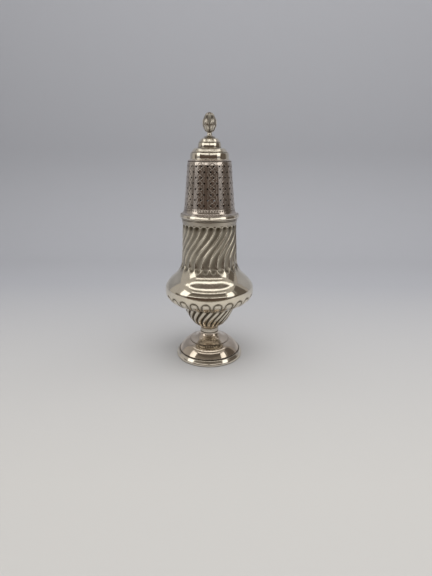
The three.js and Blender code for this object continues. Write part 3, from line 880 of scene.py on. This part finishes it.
def build_windows():
    """The nearer cards: each side has a window, its sill, its upper part and a dark frame beside it."""
    # Each card's lower edge, as its climb and two turns, and then its upper edge
    cards = (
        ("left_dark", GLOOM, ROOM_LOW, (-94, -80), 12, (-94, -82)),
        ("right_dark", GLOOM, ROOM_LOW, (70, 112), 44, (86, 108)),
        ("left_sill", LEFT_SILL, SILL_LOW, (-76, -58), SILL_TOP, (-78, -58)),
        ("right_sill", RIGHT_SILL, SILL_LOW, (44, 64), SILL_TOP, (46, 66)),
        ("left_window", WINDOW, SILL_TOP, (-78, -58), WINDOW_TOP, (-86, -58)),
        ("right_window", WINDOW, SILL_TOP, (46, 66), WINDOW_TOP, (54, 76)),
        ("left_high", FAINT, WINDOW_TOP, (-108, -62), UPPER_TOP, (-96, -60)),
        ("right_high", FAINT, WINDOW_TOP, (60, 105), UPPER_TOP, (60, 93)),
    )
    for part, tint, low, (low_left, low_right), high, (high_left, high_right) in cards:
        corners = ((low_left, low), (low_right, low), (high_right, high), (high_left, high))
        reflector(f"card_{part}", corners, tint)


def build_lamps():
    """Three rows of lamps, the upper two sinking towards the sides, each mirrored left and right."""
    strips = (
        ("row", upright(62, 2.5, 15.2, 20), WINDOW),
        ("low", ((31, 51.8), (0, 53.5), (0, 57.5), (31, 55.8)), LAMPS),
        ("low_far", ((62, 46.5), (31, 51.8), (31, 55.8), (62, 51)), LAMPS),
        ("high", ((37, 62.5), (0, 65.3), (0, 71.5), (37, 68.5)), WINDOW),
        ("high_far", ((84, 53), (37, 62.5), (37, 68.5), (84, 58)), WINDOW),
        ("high_end", ((110, 47.5), (84, 53), (84, 58), (110, 52.5)), WINDOW),
    )
    for side, sign in (("left", -1), ("right", 1)):
        for part, corners, tint in strips:
            reflector(f"card_{part}_{side}", [(sign * turn, climb) for turn, climb in corners], tint)


def build_table():
    """The table in front as the silver sees it: dark beyond a paler apron, and just above the paper."""
    half = 1500
    lift = 0.4
    for name, far, near, tint in (("card_table", -1500, -200, ROOM), ("card_apron", -200, -162, APRON)):
        corners = ((-half, far), (half, far), (half, near), (-half, near))
        ground = bpy.data.meshes.new(name)
        ground.from_pydata([(x * MM, y * MM, lift * MM) for x, y in corners], [], [(0, 1, 2, 3)])
        glow(name, ground, tint)


def build_sweep():
    """Pale sweep of paper under and behind the object, painted a little darker towards the back as shade."""
    half = 600
    front = -420
    back = 330
    bend = 120
    top = 620
    bend_steps = 12
    curve = [(front, 0), (back - bend, 0)]
    for i in range(1, bend_steps + 1):
        turn = math.pi / 2 * i / bend_steps
        curve.append((back - bend + bend * math.sin(turn), bend - bend * math.cos(turn)))
    curve.append((back, top))
    vertices = [(x * MM, y * MM, z * MM) for y, z in curve for x in (-half, half)]
    faces = [(2 * i, 2 * i + 1, 2 * i + 3, 2 * i + 2) for i in range(len(curve) - 1)]
    mesh = bpy.data.meshes.new("paper_sweep")
    mesh.from_pydata(vertices, [], faces)
    mesh.shade_smooth()
    material, nodes, links, surface = shader("paper")
    surface.inputs["Roughness"].default_value = 0.85
    place = nodes.new("ShaderNodeTexCoord")
    parts = nodes.new("ShaderNodeSeparateXYZ")
    links.new(place.outputs["Object"], parts.inputs["Vector"])
    # Painted shade: the paper's colour darkens from the front of the floor to the backdrop
    away = nodes.new("ShaderNodeMapRange")
    away.inputs["From Min"].default_value = -0.1
    away.inputs["From Max"].default_value = 0.13
    links.new(parts.outputs["Y"], away.inputs["Value"])
    shade = nodes.new("ShaderNodeMix")
    shade.data_type = "RGBA"
    shade.inputs["A"].default_value = (*PAPER_FRONT, 1)
    shade.inputs["B"].default_value = (*PAPER_BACK, 1)
    links.new(away.outputs["Result"], shade.inputs["Factor"])
    links.new(shade.outputs["Result"], surface.inputs["Base Color"])
    mesh.materials.append(material)
    sweep = bpy.data.objects.new("paper_sweep", mesh)
    bpy.context.scene.collection.objects.link(sweep)


def build_light():
    """Plain pale world and one large soft lamp above the table."""
    world = bpy.data.worlds.new("room")
    bpy.context.scene.world = world
    world.use_nodes = True
    world.node_tree.nodes["Background"].inputs["Color"].default_value = (*WORLD, 1)
    lamp = bpy.data.lights.new("soft_lamp", "AREA")
    lamp.shape = "RECTANGLE"
    lamp.size = 0.9
    lamp.size_y = 0.6
    lamp.energy = 3.5
    fixture = bpy.data.objects.new("soft_lamp", lamp)
    bpy.context.scene.collection.objects.link(fixture)
    fixture.location = (0.08, -0.1, 0.6)
    fixture.visible_glossy = False
    fixture.visible_camera = False


def build_camera():
    """The photograph's viewpoint."""
    lens = bpy.data.cameras.new("photo_camera")
    lens.sensor_width = SENSOR_MM
    lens.lens = FOCAL_PX / max(FRAME_WIDTH_PX, FRAME_HEIGHT_PX) * SENSOR_MM
    lens.clip_start = 0.01
    camera = bpy.data.objects.new("photo_camera", lens)
    bpy.context.scene.collection.objects.link(camera)
    camera.location = [v * MM for v in CAMERA_AT]
    tilt = Euler((math.radians(90 - CAMERA_PITCH), 0, 0)).to_matrix()
    roll = Matrix.Rotation(math.radians(CAMERA_ROLL), 3, "Z")
    camera.rotation_euler = (tilt @ roll).to_euler()
    bpy.context.scene.camera = camera


body_metal = silver("body_silver", (0.87, 0.80, 0.67), (0.10, 0.08, 0.05), gloss=0.07, grime=0.2)
foot_metal = silver("foot_silver", (0.75, 0.65, 0.54), (0.09, 0.065, 0.045), gloss=0.07, grime=0.3)
plain_metal = silver("plain_silver", (0.86, 0.79, 0.68), (0.10, 0.075, 0.05), gloss=0.07, grime=0.18)
cover_metal = silver("cover_silver", (0.72, 0.64, 0.57), (0.06, 0.045, 0.035), gloss=0.12, grime=0.34)
cast_metal = silver("cast_silver", (0.80, 0.74, 0.64), (0.05, 0.04, 0.03), gloss=0.16, grime=0.3)
# A much darker copy of the silver for the sleeve and nut inside the cover: painted shade
shaded_inner_metal = silver("inner_silver", (0.40, 0.36, 0.30), (0.07, 0.055, 0.04), gloss=0.35, grime=0.4)

build_rim(plain_metal)
build_dome(foot_metal)
build_stem(plain_metal)
build_bowl(body_metal)
build_neck(body_metal)
build_band(plain_metal)
build_sleeve(shaded_inner_metal)
build_girdle(plain_metal)
build_wall(cover_metal)
build_cap(body_metal)
build_seat(cast_metal)
build_bud(cast_metal)
build_nut(shaded_inner_metal)

build_sweep()
build_room()
build_windows()
build_lamps()
build_table()
build_light()
build_camera()
bpy.context.scene.view_settings.view_transform = "Standard"
